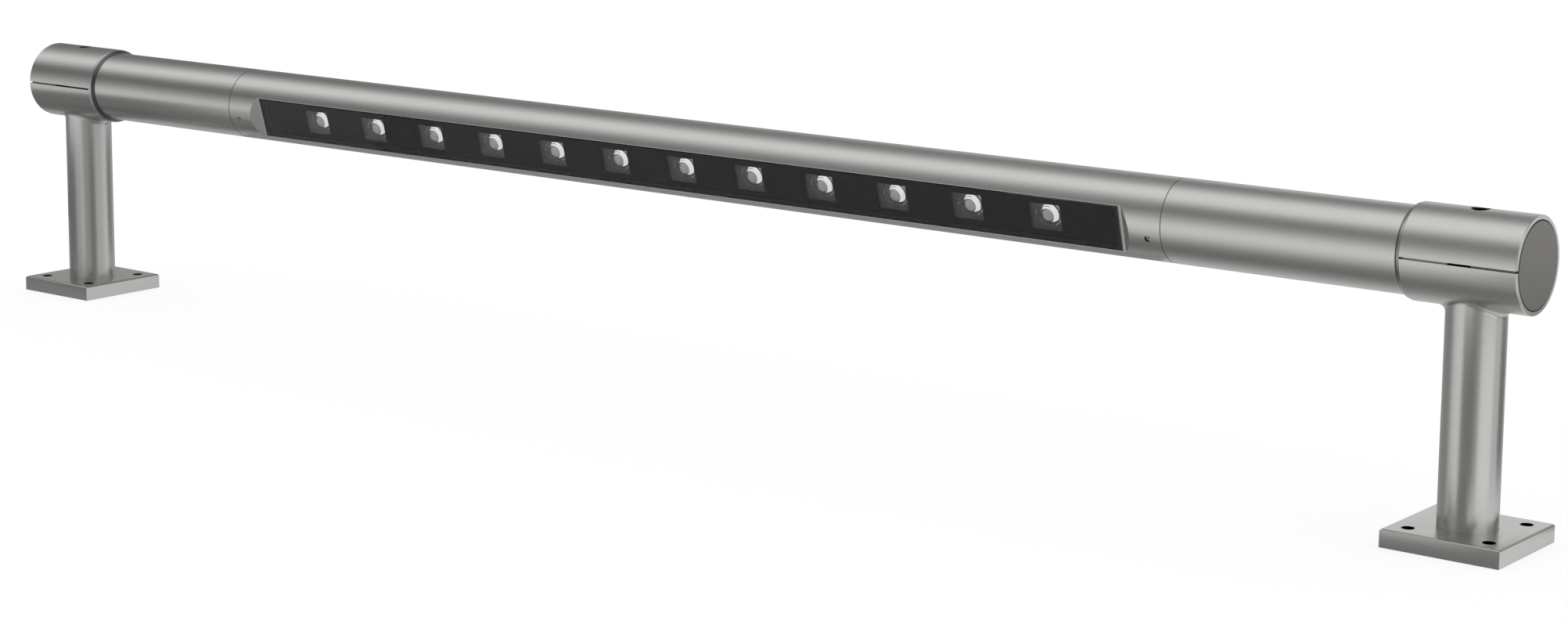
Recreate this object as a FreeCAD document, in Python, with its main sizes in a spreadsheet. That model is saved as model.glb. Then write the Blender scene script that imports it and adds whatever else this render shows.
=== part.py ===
import FreeCAD, Part
import os
import Sketcher

# Balustrade light: a handrail tube on two posts, with a lit section let into its middle.
# Frame: X along the rail, Z up, origin on the ground midway between the posts, window towards -Y.
# All sizes are millimetres and degrees.

SIZES = {
    # Rail and the places of its supports
    "rail_diameter": 50.0,
    "rail_axis_height": 160.0,
    "post_spacing": 1150.0,
    "tube_wall": 2.5,
    # Base plates
    "plate_side": 71.0,
    "plate_thickness": 10.5,
    "plate_edge_chamfer": 1.0,
    "plate_hole_spacing": 48.0,
    "plate_hole_diameter": 7.0,
    "plate_hole_chamfer": 0.3,
    "post_seat_depth": 4.0,
    "post_seat_ledge": 2.0,
    # Posts
    "post_diameter": 34.0,
    "post_wall": 2.0,
    # Rail clamps
    "clamp_wall": 2.45,
    "clamp_reach": 34.2,
    "clamp_edge_chamfer": 0.4,
    "collar_length": 3.6,
    "collar_land": 0.3,
    "collar_shoulder_length": 1.9,
    "collar_shoulder_drop": 0.6,
    "clamp_slit": 1.3,
    "turn_clearance": 0.05,
    "seat_clearance": 0.1,
    "neck_length": 5.0,
    "neck_fillet": 4.2,
    "spigot_length": 12.0,
    "spigot_wall": 2.0,
    "wire_hole_diameter": 6.4,
    # Clamp screws and the bosses that take them
    "clamp_screw_diameter": 6.0,
    "clamp_screw_length": 40.0,
    "clamp_head_diameter": 10.0,
    "clamp_head_height": 4.0,
    "clamp_head_sink": 2.8,
    "clamp_hex_width": 5.0,
    "clamp_hex_depth": 2.2,
    "screw_edge": 0.5,
    "counterbore_clearance": 0.5,
    "shank_clearance": 0.3,
    "thread_clearance": 0.05,
    "thread_engagement": 12.0,
    "thread_runout": 3.0,
    "saddle_boss_wall": 2.5,
    "cap_boss_wall": 1.0,
    "cap_boss_floor": 4.0,
    "cap_boss_bite": 0.5,
    "chamber_clearance": 0.35,
    # End plugs and their rubber rings
    "plug_proud": 0.4,
    "plug_rim_gap": 0.7,
    "plug_rim_depth": 1.2,
    "plug_edge": 0.3,
    "plug_end_wall": 4.0,
    "plug_skirt_wall": 4.0,
    "seal_sink": 0.2,
    # Light housing
    "window_tilt": 15.5,
    "housing_wall": 5.0,
    "flat_depth": 4.83,
    "flat_rim_side": 0.57,
    "flat_rim_end": 1.8,
    "flat_slope_length": 6.4,
    "window_margin": 53.45,
    "window_ledge_side": 2.2,
    "window_ledge_end": 5.0,
    "housing_end_length": 29.2,
    # Set screws
    "set_screw_inset": 8.5,
    "set_screw_turn": 4.5,
    "set_screw_diameter": 4.0,
    "set_screw_sink": 1.0,
    "set_hex_width": 2.0,
    "set_hex_depth": 2.0,
    # Couplings and seam gaskets
    "coupling_tube_length": 22.0,
    "coupling_housing_length": 18.0,
    "coupling_wall": 4.0,
    "seam_gasket_thickness": 0.6,
    "seam_gasket_inset": 0.3,
    # Cover glass and its gasket
    "glass_thickness": 3.0,
    "gasket_border": 0.6,
    "gasket_bed": 0.3,
    "gasket_drop": 0.2,
    # Mask with the windows for the lenses
    "mask_gap": 0.4,
    "mask_thickness": 1.2,
    "mask_leg": 1.0,
    "mask_clearance": 0.5,
    "mask_slot_depth": 1.5,
    "mask_slot_clearance": 0.1,
    "lens_window_length": 22.5,
    "lens_window_width": 17.5,
    # Lenses and diodes
    "led_count": 12,
    "led_pitch": 55.7,
    "led_side": 3.5,
    "led_height": 1.2,
    "led_dome_diameter": 2.8,
    "led_dome_height": 0.6,
    "lens_height": 9.0,
    "lens_clearance": 0.3,
    "lens_drop": 0.25,
    "lens_plate": 2.0,
    "lens_diameter": 15.0,
    "lens_foot_diameter": 8.6,
    "lens_cavity_diameter": 5.8,
    "lens_cavity_height": 3.0,
    # Circuit board, its screws, connector and leads
    "board_thickness": 1.6,
    "board_margin": 38.65,
    "board_clearance": 0.5,
    "board_screw_diameter": 3.0,
    "board_screw_length": 7.0,
    "board_head_diameter": 5.5,
    "board_head_height": 2.0,
    "board_hole_clearance": 0.2,
    "connector_length": 10.0,
    "connector_width": 8.0,
    "connector_height": 6.0,
    "connector_inset": 2.0,
    "lead_diameter": 1.8,
    "lead_spacing": 3.5,
    # Heat sink
    "heat_sink_end_play": 0.3,
    "heat_sink_web": 2.8,
    "heat_sink_duct_diameter": 16.0,
    # Driver in the right coupling, and bungs in the rail tubes
    "driver_length": 100.0,
    "driver_gap": 15.0,
    "driver_clearance": 0.2,
    "driver_edge": 1.0,
    "bung_length": 14.0,
    "bung_bore": 7.0,
    "bung_recess": 0.5,
}

# Places and fits that follow from the sizes. Heights in the lamp are distances from the rail's axis
# towards the window, and x is the distance along the rail from the middle.
FITS = {
    "rail_r": "dims.rail_diameter / 2",
    "tube_bore_r": "fits.rail_r - dims.tube_wall",
    "post_x": "dims.post_spacing / 2",
    "post_r": "dims.post_diameter / 2",
    "post_bore_r": "fits.post_r - dims.post_wall",
    "post_foot": "dims.plate_thickness - dims.post_seat_depth",
    "cable_hole_r": "fits.post_bore_r - dims.post_seat_ledge",
    "clamp_bore_r": "fits.rail_r + dims.turn_clearance",
    "clamp_r": "fits.clamp_bore_r + dims.clamp_wall",
    "collar_end": "dims.clamp_reach + dims.collar_length",
    "neck_bottom": "-fits.clamp_r - dims.neck_length",
    "post_length": "dims.rail_axis_height + fits.neck_bottom - fits.post_foot",
    "spigot_r": "fits.post_bore_r - dims.seat_clearance",
    "spigot_bore_r": "fits.spigot_r - dims.spigot_wall",
    "screw_r": "dims.clamp_screw_diameter / 2",
    "counterbore_r": "dims.clamp_head_diameter / 2 + dims.counterbore_clearance",
    "cap_boss_r": "fits.counterbore_r + dims.cap_boss_wall",
    "chamber_half": "fits.cap_boss_r + dims.chamber_clearance",
    "head_top": "fits.clamp_r - dims.clamp_head_sink",
    "head_seat": "fits.head_top - dims.clamp_head_height",
    "screw_tip": "fits.head_seat - dims.clamp_screw_length",
    "saddle_boss_r": "fits.screw_r + dims.saddle_boss_wall",
    "saddle_boss_top": "fits.screw_tip + dims.thread_engagement",
    "wire_hole_y": "(fits.saddle_boss_r + fits.spigot_bore_r) / 2",
    "plug_r": "fits.clamp_bore_r - dims.seat_clearance",
    "plug_rim_r": "fits.clamp_bore_r - dims.plug_rim_gap",
    "plug_bore_r": "fits.plug_r - dims.plug_skirt_wall",
    "plug_shoulder": "dims.clamp_reach - dims.plug_rim_depth",
    "housing_bore_r": "fits.rail_r - dims.housing_wall",
    "flat_n": "fits.rail_r - dims.flat_depth",
    "window_half_w": "sqrt(fits.rail_r ^ 2 - fits.flat_n ^ 2) - dims.flat_rim_side",
    "led_half_span": "dims.led_pitch * (dims.led_count - 1) / 2",
    "window_half_l": "fits.led_half_span + dims.window_margin",
    "flat_half_l": "fits.window_half_l + dims.flat_rim_end",
    "housing_half_l": "fits.window_half_l + dims.housing_end_length",
    "set_screw_x": "fits.housing_half_l - dims.set_screw_inset",
    "set_screw_r": "dims.set_screw_diameter / 2",
    "coupling_tube_r": "fits.tube_bore_r - dims.seat_clearance",
    "coupling_housing_r": "fits.housing_bore_r - dims.seat_clearance",
    "coupling_bore_r": "fits.coupling_housing_r - dims.coupling_wall",
    "coupling_inner": "fits.housing_half_l - dims.coupling_housing_length",
    "coupling_outer": "fits.housing_half_l + dims.coupling_tube_length",
    "tube_start": "fits.housing_half_l + dims.seam_gasket_thickness",
    "tube_end": "fits.post_x - fits.chamber_half",
    "glass_back": "fits.flat_n - dims.glass_thickness",
    "glass_half_w": "fits.window_half_w - dims.gasket_border",
    "glass_half_l": "fits.window_half_l - dims.gasket_border",
    "rebate_floor": "fits.glass_back - dims.gasket_bed",
    "opening_half_w": "fits.window_half_w - dims.window_ledge_side",
    "opening_half_l": "fits.window_half_l - dims.window_ledge_end",
    "mask_front": "fits.glass_back - dims.mask_gap",
    "mask_back": "fits.mask_front - dims.mask_thickness",
    "mask_half_w": "fits.opening_half_w - dims.mask_clearance",
    "mask_half_l": "fits.opening_half_l - dims.mask_clearance",
    "leg_inside": "fits.mask_half_w - dims.mask_leg",
    "board_top": "fits.mask_back - dims.lens_height",
    "heat_top": "fits.board_top - dims.board_thickness",
    "leg_foot": "fits.heat_top - dims.mask_slot_depth",
    "board_half_w": "fits.leg_inside - dims.board_clearance",
    "board_half_l": "fits.led_half_span + dims.board_margin",
    "board_screw_r": "dims.board_screw_diameter / 2",
    "screw_half_span": "dims.led_pitch * (floor(dims.led_count / 2) - 1)",
    "lens_top": "fits.mask_front - dims.lens_drop",
    "lens_under": "fits.lens_top - dims.lens_plate",
    "connector_x": "fits.board_half_l - dims.connector_inset",
    "lead_z": "fits.board_top + dims.connector_height / 2",
    "heat_sink_r": "fits.housing_bore_r - dims.seat_clearance",
    "heat_sink_half_l": "fits.coupling_inner - dims.heat_sink_end_play",
    "duct_r": "dims.heat_sink_duct_diameter / 2",
    "duct_z": "fits.heat_top - dims.heat_sink_web - fits.duct_r",
    "driver_x": "fits.coupling_inner + dims.driver_gap",
    "driver_r": "fits.coupling_bore_r - dims.driver_clearance",
    "bung_end": "fits.tube_end - dims.bung_recess",
}

SIDES = {"left": -1, "right": 1}

# Two places closer than this are one place
SAME_PLACE = 1e-6

doc = FreeCAD.newDocument("balustrade_light")
parts = []


def fill_sheet(name, cells, prefix):
    sheet = doc.addObject("Spreadsheet::Sheet", name)
    for row, (alias, content) in enumerate(cells.items(), 1):
        sheet.set(f"A{row}", alias)
        sheet.set(f"B{row}", f"{prefix}{content}")
        sheet.setAlias(f"B{row}", alias)


fill_sheet("dims", SIZES, "")
fill_sheet("fits", {name: text.replace("fits.", "") for name, text in FITS.items()}, "=")
doc.recompute()


def value(expression):
    return float(doc.dims.evalExpression(expression))


def new_body(label):
    body = doc.addObject("PartDesign::Body", label)
    body.Label = label
    return body


def keep(piece):
    """Hand a finished sub-part on to be written to its own file."""
    parts.append(piece)


def place_on_post(piece, side, height):
    """Stand a piece on a post's axis, with its local +X pointing out of the light's end."""
    turn = 0 if SIDES[side] > 0 else 180
    piece.Placement = FreeCAD.Placement(FreeCAD.Vector(), FreeCAD.Rotation(FreeCAD.Vector(0, 0, 1), turn))
    piece.setExpression("Placement.Base.x", f"{SIDES[side]} * fits.post_x")
    piece.setExpression("Placement.Base.z", height)


def place_on_rail(piece, side):
    """Lay a turned piece on the rail's axis, with its local +X pointing out of the light's end."""
    turn = 0 if SIDES[side] > 0 else 180
    piece.Placement = FreeCAD.Placement(FreeCAD.Vector(), FreeCAD.Rotation(FreeCAD.Vector(0, 0, 1), turn))
    piece.setExpression("Placement.Base.z", "dims.rail_axis_height")


def place_in_lamp(piece, x="0", turn="0"):
    """Turn a piece drawn with its local +Z towards the window into the tilted lamp, or further round."""
    piece.Placement = FreeCAD.Placement(FreeCAD.Vector(), FreeCAD.Rotation(FreeCAD.Vector(1, 0, 0), 90))
    piece.setExpression("Placement.Rotation.Angle", f"90 + dims.window_tilt + {turn}")
    piece.setExpression("Placement.Base.x", x)
    piece.setExpression("Placement.Base.z", "dims.rail_axis_height")


def sketch_on(body, role, offset="0"):
    plane = next(item for item in body.Origin.OriginFeatures if item.Role == role)
    sketch = body.newObject("Sketcher::SketchObject", f"{body.Label}_sketch")
    sketch.AttachmentSupport = [(plane, "")]
    sketch.MapMode = "FlatFace"
    sketch.setExpression("AttachmentOffset.Base.z", offset)
    return sketch


def pin(sketch, element, point, x, y):
    """Hold a point of the sketch at the place that two expressions give."""
    for kind, expression in (("DistanceX", x), ("DistanceY", y)):
        constraint = Sketcher.Constraint(kind, -1, 1, element, point, value(expression))
        sketch.setExpression(f"Constraints[{sketch.addConstraint(constraint)}]", expression)


def outline(sketch, corners):
    """Draw a closed outline of straight lines through corners given as expressions."""
    first = sketch.GeometryCount
    count = len(corners)
    points = [FreeCAD.Vector(value(x), value(y), 0) for x, y in corners]
    for i in range(count):
        sketch.addGeometry(Part.LineSegment(points[i], points[(i + 1) % count]))
    for i, (x, y) in enumerate(corners):
        sketch.addConstraint(Sketcher.Constraint("Coincident", first + i, 2, first + (i + 1) % count, 1))
        pin(sketch, first + i, 1, x, y)


def oblong(sketch, half_x, half_y, x="0", y="0"):
    """Draw a rectangle about a centre, from its half sides."""
    low_x, high_x = f"{x} - ({half_x})", f"{x} + ({half_x})"
    low_y, high_y = f"{y} - ({half_y})", f"{y} + ({half_y})"
    outline(sketch, [(low_x, low_y), (high_x, low_y), (high_x, high_y), (low_x, high_y)])


def circle(sketch, radius, x="0", y="0"):
    centre = FreeCAD.Vector(value(x), value(y), 0)
    element = sketch.addGeometry(Part.Circle(centre, FreeCAD.Vector(0, 0, 1), value(radius)))
    pin(sketch, element, 3, x, y)
    constraint = Sketcher.Constraint("Radius", element, value(radius))
    sketch.setExpression(f"Constraints[{sketch.addConstraint(constraint)}]", radius)


def hexagon(sketch, width):
    """Draw a hexagon about the origin, from its width across flats."""
    corner = f"{width} / sqrt(3)"
    outline(sketch, [(f"{corner} * cos({60 * i} deg)", f"{corner} * sin({60 * i} deg)") for i in range(6)])


def revolve(body, corners, axis):
    """Turn an outline of the body's XZ plane about its X axis (H_Axis) or its Z axis (V_Axis)."""
    sketch = sketch_on(body, "XZ_Plane")
    outline(sketch, corners)
    feature = body.newObject("PartDesign::Revolution", f"{body.Label}_turning")
    feature.Profile = sketch
    feature.ReferenceAxis = (sketch, [axis])
    feature.Angle = 360
    doc.recompute()


def ring(body, inner_r, outer_r, start, end, axis):
    along_x = [(start, inner_r), (end, inner_r), (end, outer_r), (start, outer_r)]
    revolve(body, along_x if axis == "H_Axis" else [(y, x) for x, y in along_x], axis)


def pad(body, sketch, length, symmetric=False):
    feature = body.newObject("PartDesign::Pad", f"{body.Label}_pad")
    feature.Profile = sketch
    feature.SideType = "Symmetric" if symmetric else "One side"
    feature.setExpression("Length", length)
    doc.recompute()


def cut(body, sketch, symmetric=False):
    """Cut right through, both ways or only towards the sketch plane's front."""
    before = body.Shape.Volume
    feature = body.newObject("PartDesign::Pocket", f"{body.Label}_cut")
    feature.Profile = sketch
    feature.Type = "ThroughAll"
    feature.SideType = "Symmetric" if symmetric else "One side"
    feature.Reversed = not symmetric
    doc.recompute()
    if not body.Shape.Volume < before:
        raise RuntimeError(f"{feature.Label} cuts nothing")
    return feature


def repeat_along_x(body, feature, sketch, count, span):
    pattern = body.newObject("PartDesign::LinearPattern", f"{body.Label}_row")
    pattern.Originals = [feature]
    pattern.Direction = (sketch, ["H_Axis"])
    pattern.setExpression("Occurrences", count)
    pattern.setExpression("Length", span)
    body.Tip = pattern
    doc.recompute()


def dress_edges(body, kind, size, wanted):
    """Chamfer or fillet the edges of the body that the test picks out."""
    base = body.Tip
    names = [f"Edge{i}" for i, edge in enumerate(base.Shape.Edges, 1) if wanted(edge)]
    feature = body.newObject(f"PartDesign::{kind}", f"{body.Label}_{kind.lower()}")
    feature.Base = (base, names)
    feature.setExpression("Size" if kind == "Chamfer" else "Radius", size)
    doc.recompute()


def group(label, members):
    """Put identical pieces in one node, as separate solids."""
    compound = doc.addObject("Part::Compound", label)
    compound.Label = label
    compound.Links = members
    keep(compound)


def is_round(edge):
    return edge.Curve.TypeId == "Part::GeomCircle"


def is_straight(edge):
    return edge.Curve.TypeId == "Part::GeomLine"


def at_height(edge, height):
    box = edge.BoundBox
    return max(abs(box.ZMin - height), abs(box.ZMax - height)) < SAME_PLACE


def base_plate(side):
    body = new_body(f"base_plate_{side}")
    square = sketch_on(body, "XY_Plane")
    oblong(square, "dims.plate_side / 2", "dims.plate_side / 2")
    pad(body, square, "dims.plate_thickness")
    top = value("dims.plate_thickness")
    dress_edges(body, "Chamfer", "dims.plate_edge_chamfer", lambda edge: at_height(edge, top))
    holes = sketch_on(body, "XY_Plane")
    for x in (-1, 1):
        for y in (-1, 1):
            reach = "dims.plate_hole_spacing / 2"
            circle(holes, "dims.plate_hole_diameter / 2", f"{x} * {reach}", f"{y} * {reach}")
    cut(body, holes)
    dress_edges(body, "Chamfer", "dims.plate_hole_chamfer",
                lambda edge: is_round(edge) and at_height(edge, top))
    seat = sketch_on(body, "XY_Plane", "fits.post_foot")
    circle(seat, "fits.post_r + dims.seat_clearance")
    cut(body, seat)
    cable_hole = sketch_on(body, "XY_Plane")
    circle(cable_hole, "fits.cable_hole_r")
    cut(body, cable_hole)
    place_on_post(body, side, "0")
    keep(body)


def post(side):
    body = new_body(f"post_{side}")
    ring(body, "fits.post_bore_r", "fits.post_r", "0", "fits.post_length", "V_Axis")
    place_on_post(body, side, "fits.post_foot")
    keep(body)


def clamp_bar(body):
    """Turn the outside of a rail clamp as a solid bar."""
    revolve(body, [
        ("-dims.clamp_reach", "0"),
        ("dims.clamp_reach", "0"),
        ("dims.clamp_reach", "fits.clamp_r - dims.clamp_edge_chamfer"),
        ("dims.clamp_reach - dims.clamp_edge_chamfer", "fits.clamp_r"),
        ("-dims.clamp_reach", "fits.clamp_r"),
    ], "H_Axis")


def halve(body, side, keep_side):
    """Cut away the bar's other half: the slit is open in front, and the saddle fills it behind."""
    behind = f"{SIDES[side]} * 2 * fits.clamp_r"
    in_front = f"{-SIDES[side]} * 2 * fits.clamp_r"
    far = f"{-keep_side} * 2 * fits.clamp_r"
    cap_edge = "dims.clamp_slit / 2"
    corners = [(in_front, far), (behind, far), (behind, cap_edge)]
    if keep_side < 0:
        corners += [("0", cap_edge), ("0", f"-{cap_edge}")]
    corners.append((in_front, f"{keep_side} * {cap_edge}"))
    other_half = sketch_on(body, "YZ_Plane")
    outline(other_half, corners)
    cut(body, other_half, symmetric=True)


def bore_clamp(body):
    bore = sketch_on(body, "YZ_Plane")
    circle(bore, "fits.clamp_bore_r")
    cut(body, bore, symmetric=True)


def clamp_saddle(side):
    body = new_body(f"clamp_saddle_{side}")
    clamp_bar(body)
    halve(body, side, -1)
    neck = sketch_on(body, "XY_Plane", "fits.neck_bottom")
    circle(neck, "fits.post_r")
    pad(body, neck, "-fits.neck_bottom - dims.clamp_slit")
    neck_r = value("fits.post_r")
    dress_edges(body, "Fillet", "dims.neck_fillet",
                lambda edge: not (is_round(edge) or is_straight(edge)) and abs(edge.CenterOfMass.x) < neck_r)
    bore_clamp(body)
    boss = sketch_on(body, "XY_Plane", "fits.neck_bottom")
    circle(boss, "fits.saddle_boss_r")
    pad(body, boss, "fits.saddle_boss_top - fits.neck_bottom")
    spigot = sketch_on(body, "XY_Plane", "fits.neck_bottom - dims.spigot_length")
    circle(spigot, "fits.spigot_r")
    circle(spigot, "fits.spigot_bore_r")
    pad(body, spigot, "dims.spigot_length")
    thread = sketch_on(body, "XY_Plane", "fits.screw_tip - dims.thread_runout")
    circle(thread, "fits.screw_r + dims.thread_clearance")
    cut(body, thread)
    wire_holes = sketch_on(body, "XY_Plane", "fits.neck_bottom")
    for y in (-1, 1):
        circle(wire_holes, "dims.wire_hole_diameter / 2", "0", f"{y} * fits.wire_hole_y")
    cut(body, wire_holes)
    place_on_post(body, side, "dims.rail_axis_height")
    keep(body)


def clamp_cap(side):
    body = new_body(f"clamp_cap_{side}")
    clamp_bar(body)
    halve(body, side, 1)
    bore_clamp(body)
    boss_bottom = "(fits.head_seat - dims.cap_boss_floor)"
    boss = sketch_on(body, "XY_Plane", boss_bottom)
    circle(boss, "fits.cap_boss_r")
    pad(body, boss, f"fits.clamp_bore_r + dims.cap_boss_bite - {boss_bottom}")
    counterbore = sketch_on(body, "XY_Plane", "fits.head_seat")
    circle(counterbore, "fits.counterbore_r")
    cut(body, counterbore)
    shank_hole = sketch_on(body, "XY_Plane")
    circle(shank_hole, "fits.screw_r + dims.shank_clearance")
    cut(body, shank_hole)
    place_on_post(body, side, "dims.rail_axis_height")
    keep(body)


def clamp_collar(side):
    """Turn the unslit ring that tapers from the clamp's inner end down to the rail."""
    body = new_body(f"clamp_collar_{side}")
    revolve(body, [
        ("-dims.clamp_reach", "fits.clamp_bore_r"),
        ("-dims.clamp_reach", "fits.clamp_r"),
        ("-dims.clamp_reach - dims.collar_shoulder_length", "fits.clamp_r - dims.collar_shoulder_drop"),
        ("-fits.collar_end", "fits.clamp_bore_r + dims.collar_land"),
        ("-fits.collar_end", "fits.clamp_bore_r"),
    ], "H_Axis")
    place_on_post(body, side, "dims.rail_axis_height")
    keep(body)


def clamp_screw(side):
    body = new_body(f"clamp_screw_{side}")
    head_r = "dims.clamp_head_diameter / 2"
    revolve(body, [
        ("0", "fits.screw_tip"),
        ("fits.screw_r - dims.screw_edge", "fits.screw_tip"),
        ("fits.screw_r", "fits.screw_tip + dims.screw_edge"),
        ("fits.screw_r", "fits.head_seat"),
        (head_r, "fits.head_seat"),
        (head_r, "fits.head_top - dims.screw_edge"),
        (f"{head_r} - dims.screw_edge", "fits.head_top"),
        ("0", "fits.head_top"),
    ], "V_Axis")
    socket = sketch_on(body, "XY_Plane", "fits.head_top - dims.clamp_hex_depth")
    hexagon(socket, "dims.clamp_hex_width")
    cut(body, socket)
    place_on_post(body, side, "dims.rail_axis_height")
    return body


def end_plug(side):
    body = new_body(f"end_plug_{side}")
    face = "dims.clamp_reach + dims.plug_proud"
    floor = f"{face} - dims.plug_end_wall"
    revolve(body, [
        ("fits.chamber_half", "fits.plug_bore_r"),
        ("fits.chamber_half", "fits.plug_r"),
        ("fits.plug_shoulder", "fits.plug_r"),
        ("fits.plug_shoulder", "fits.plug_rim_r"),
        (f"{face} - dims.plug_edge", "fits.plug_rim_r"),
        (face, "fits.plug_rim_r - dims.plug_edge"),
        (face, "0"),
        (floor, "0"),
        (floor, "fits.plug_bore_r"),
    ], "H_Axis")
    place_on_post(body, side, "dims.rail_axis_height")
    keep(body)


def end_plug_seal(side):
    body = new_body(f"end_plug_seal_{side}")
    outer_end = "dims.clamp_reach - dims.seal_sink"
    ring(body, "fits.plug_rim_r", "fits.plug_r", "fits.plug_shoulder", outer_end, "H_Axis")
    place_on_post(body, side, "dims.rail_axis_height")
    keep(body)


def rail_tube(side):
    body = new_body(f"rail_tube_{side}")
    ring(body, "fits.tube_bore_r", "fits.rail_r", "fits.tube_start", "fits.tube_end", "H_Axis")
    place_on_rail(body, side)
    keep(body)


def tube_bung(side):
    body = new_body(f"tube_bung_{side}")
    start = "fits.bung_end - dims.bung_length"
    outer_r = "fits.tube_bore_r - dims.seat_clearance"
    ring(body, "dims.bung_bore / 2", outer_r, start, "fits.bung_end", "H_Axis")
    place_on_rail(body, side)
    keep(body)


def coupling(side):
    body = new_body(f"coupling_{side}")
    revolve(body, [
        ("fits.coupling_inner", "fits.coupling_bore_r"),
        ("fits.coupling_outer", "fits.coupling_bore_r"),
        ("fits.coupling_outer", "fits.coupling_tube_r"),
        ("fits.housing_half_l", "fits.coupling_tube_r"),
        ("fits.housing_half_l", "fits.coupling_housing_r"),
        ("fits.coupling_inner", "fits.coupling_housing_r"),
    ], "H_Axis")
    place_on_rail(body, side)
    keep(body)


def seam_gasket(side):
    body = new_body(f"seam_gasket_{side}")
    outer_r = "fits.rail_r - dims.seam_gasket_inset"
    ring(body, "fits.tube_bore_r", outer_r, "fits.housing_half_l", "fits.tube_start", "H_Axis")
    place_on_rail(body, side)
    keep(body)


def light_housing():
    body = new_body("light_housing")
    ring(body, "fits.housing_bore_r", "fits.rail_r", "-fits.housing_half_l", "fits.housing_half_l", "H_Axis")
    overshoot = "fits.rail_r + dims.flat_depth"
    flared = "(fits.flat_half_l + 2 * dims.flat_slope_length)"
    flat = sketch_on(body, "XZ_Plane")
    outline(flat, [
        ("-fits.flat_half_l", "fits.flat_n"),
        ("fits.flat_half_l", "fits.flat_n"),
        (flared, overshoot),
        (f"-{flared}", overshoot),
    ])
    cut(body, flat, symmetric=True)
    rebate = sketch_on(body, "XY_Plane", "fits.rebate_floor")
    oblong(rebate, "fits.window_half_l", "fits.window_half_w")
    cut(body, rebate)
    opening = sketch_on(body, "XY_Plane")
    oblong(opening, "fits.opening_half_l", "fits.opening_half_w")
    cut(body, opening)
    threads = sketch_on(body, "XY_Plane")
    about_rail = FreeCAD.Rotation(FreeCAD.Vector(1, 0, 0), value("dims.set_screw_turn"))
    threads.AttachmentOffset = FreeCAD.Placement(FreeCAD.Vector(), about_rail)
    threads.setExpression("AttachmentOffset.Rotation.Angle", "dims.set_screw_turn")
    for sign in SIDES.values():
        circle(threads, "fits.set_screw_r + dims.thread_clearance", f"{sign} * fits.set_screw_x")
    cut(body, threads)
    place_in_lamp(body)
    keep(body)


def set_screw(side):
    body = new_body(f"set_screw_{side}")
    top = "fits.rail_r - dims.set_screw_sink"
    revolve(body, [
        ("0", "fits.coupling_housing_r"),
        ("fits.set_screw_r - dims.screw_edge", "fits.coupling_housing_r"),
        ("fits.set_screw_r", "fits.coupling_housing_r + dims.screw_edge"),
        ("fits.set_screw_r", top),
        ("0", top),
    ], "V_Axis")
    socket = sketch_on(body, "XY_Plane", f"{top} - dims.set_hex_depth")
    hexagon(socket, "dims.set_hex_width")
    cut(body, socket)
    place_in_lamp(body, f"{SIDES[side]} * fits.set_screw_x", "dims.set_screw_turn")
    return body


def cover_glass():
    body = new_body("cover_glass")
    pane = sketch_on(body, "XY_Plane", "fits.glass_back")
    oblong(pane, "fits.glass_half_l", "fits.glass_half_w")
    pad(body, pane, "dims.glass_thickness")
    place_in_lamp(body)
    keep(body)


def glass_gasket():
    body = new_body("glass_gasket")
    bed = sketch_on(body, "XY_Plane", "fits.rebate_floor")
    oblong(bed, "fits.window_half_l", "fits.window_half_w")
    oblong(bed, "fits.opening_half_l", "fits.opening_half_w")
    pad(body, bed, "dims.gasket_bed")
    border = sketch_on(body, "XY_Plane", "fits.glass_back")
    oblong(border, "fits.window_half_l", "fits.window_half_w")
    oblong(border, "fits.glass_half_l", "fits.glass_half_w")
    pad(body, border, "dims.glass_thickness - dims.gasket_drop")
    place_in_lamp(body)
    keep(body)


def mask():
    body = new_body("mask")
    channel = sketch_on(body, "YZ_Plane")
    outline(channel, [
        ("-fits.mask_half_w", "fits.leg_foot"),
        ("-fits.mask_half_w", "fits.mask_front"),
        ("fits.mask_half_w", "fits.mask_front"),
        ("fits.mask_half_w", "fits.leg_foot"),
        ("fits.leg_inside", "fits.leg_foot"),
        ("fits.leg_inside", "fits.mask_back"),
        ("-fits.leg_inside", "fits.mask_back"),
        ("-fits.leg_inside", "fits.leg_foot"),
    ])
    pad(body, channel, "2 * fits.mask_half_l", symmetric=True)
    window = sketch_on(body, "XY_Plane", "fits.board_top")
    oblong(window, "dims.lens_window_length / 2", "dims.lens_window_width / 2", "-fits.led_half_span")
    repeat_along_x(body, cut(body, window), window, "dims.led_count", "2 * fits.led_half_span")
    place_in_lamp(body)
    keep(body)


def circuit_board():
    body = new_body("circuit_board")
    sheet = sketch_on(body, "XY_Plane", "fits.heat_top")
    oblong(sheet, "fits.board_half_l", "fits.board_half_w")
    pad(body, sheet, "dims.board_thickness")
    hole = sketch_on(body, "XY_Plane", "fits.heat_top")
    circle(hole, "fits.board_screw_r + dims.board_hole_clearance", "-fits.screw_half_span")
    repeat_along_x(body, cut(body, hole), hole, "floor(dims.led_count / 2)", "2 * fits.screw_half_span")
    place_in_lamp(body)
    keep(body)


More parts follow.
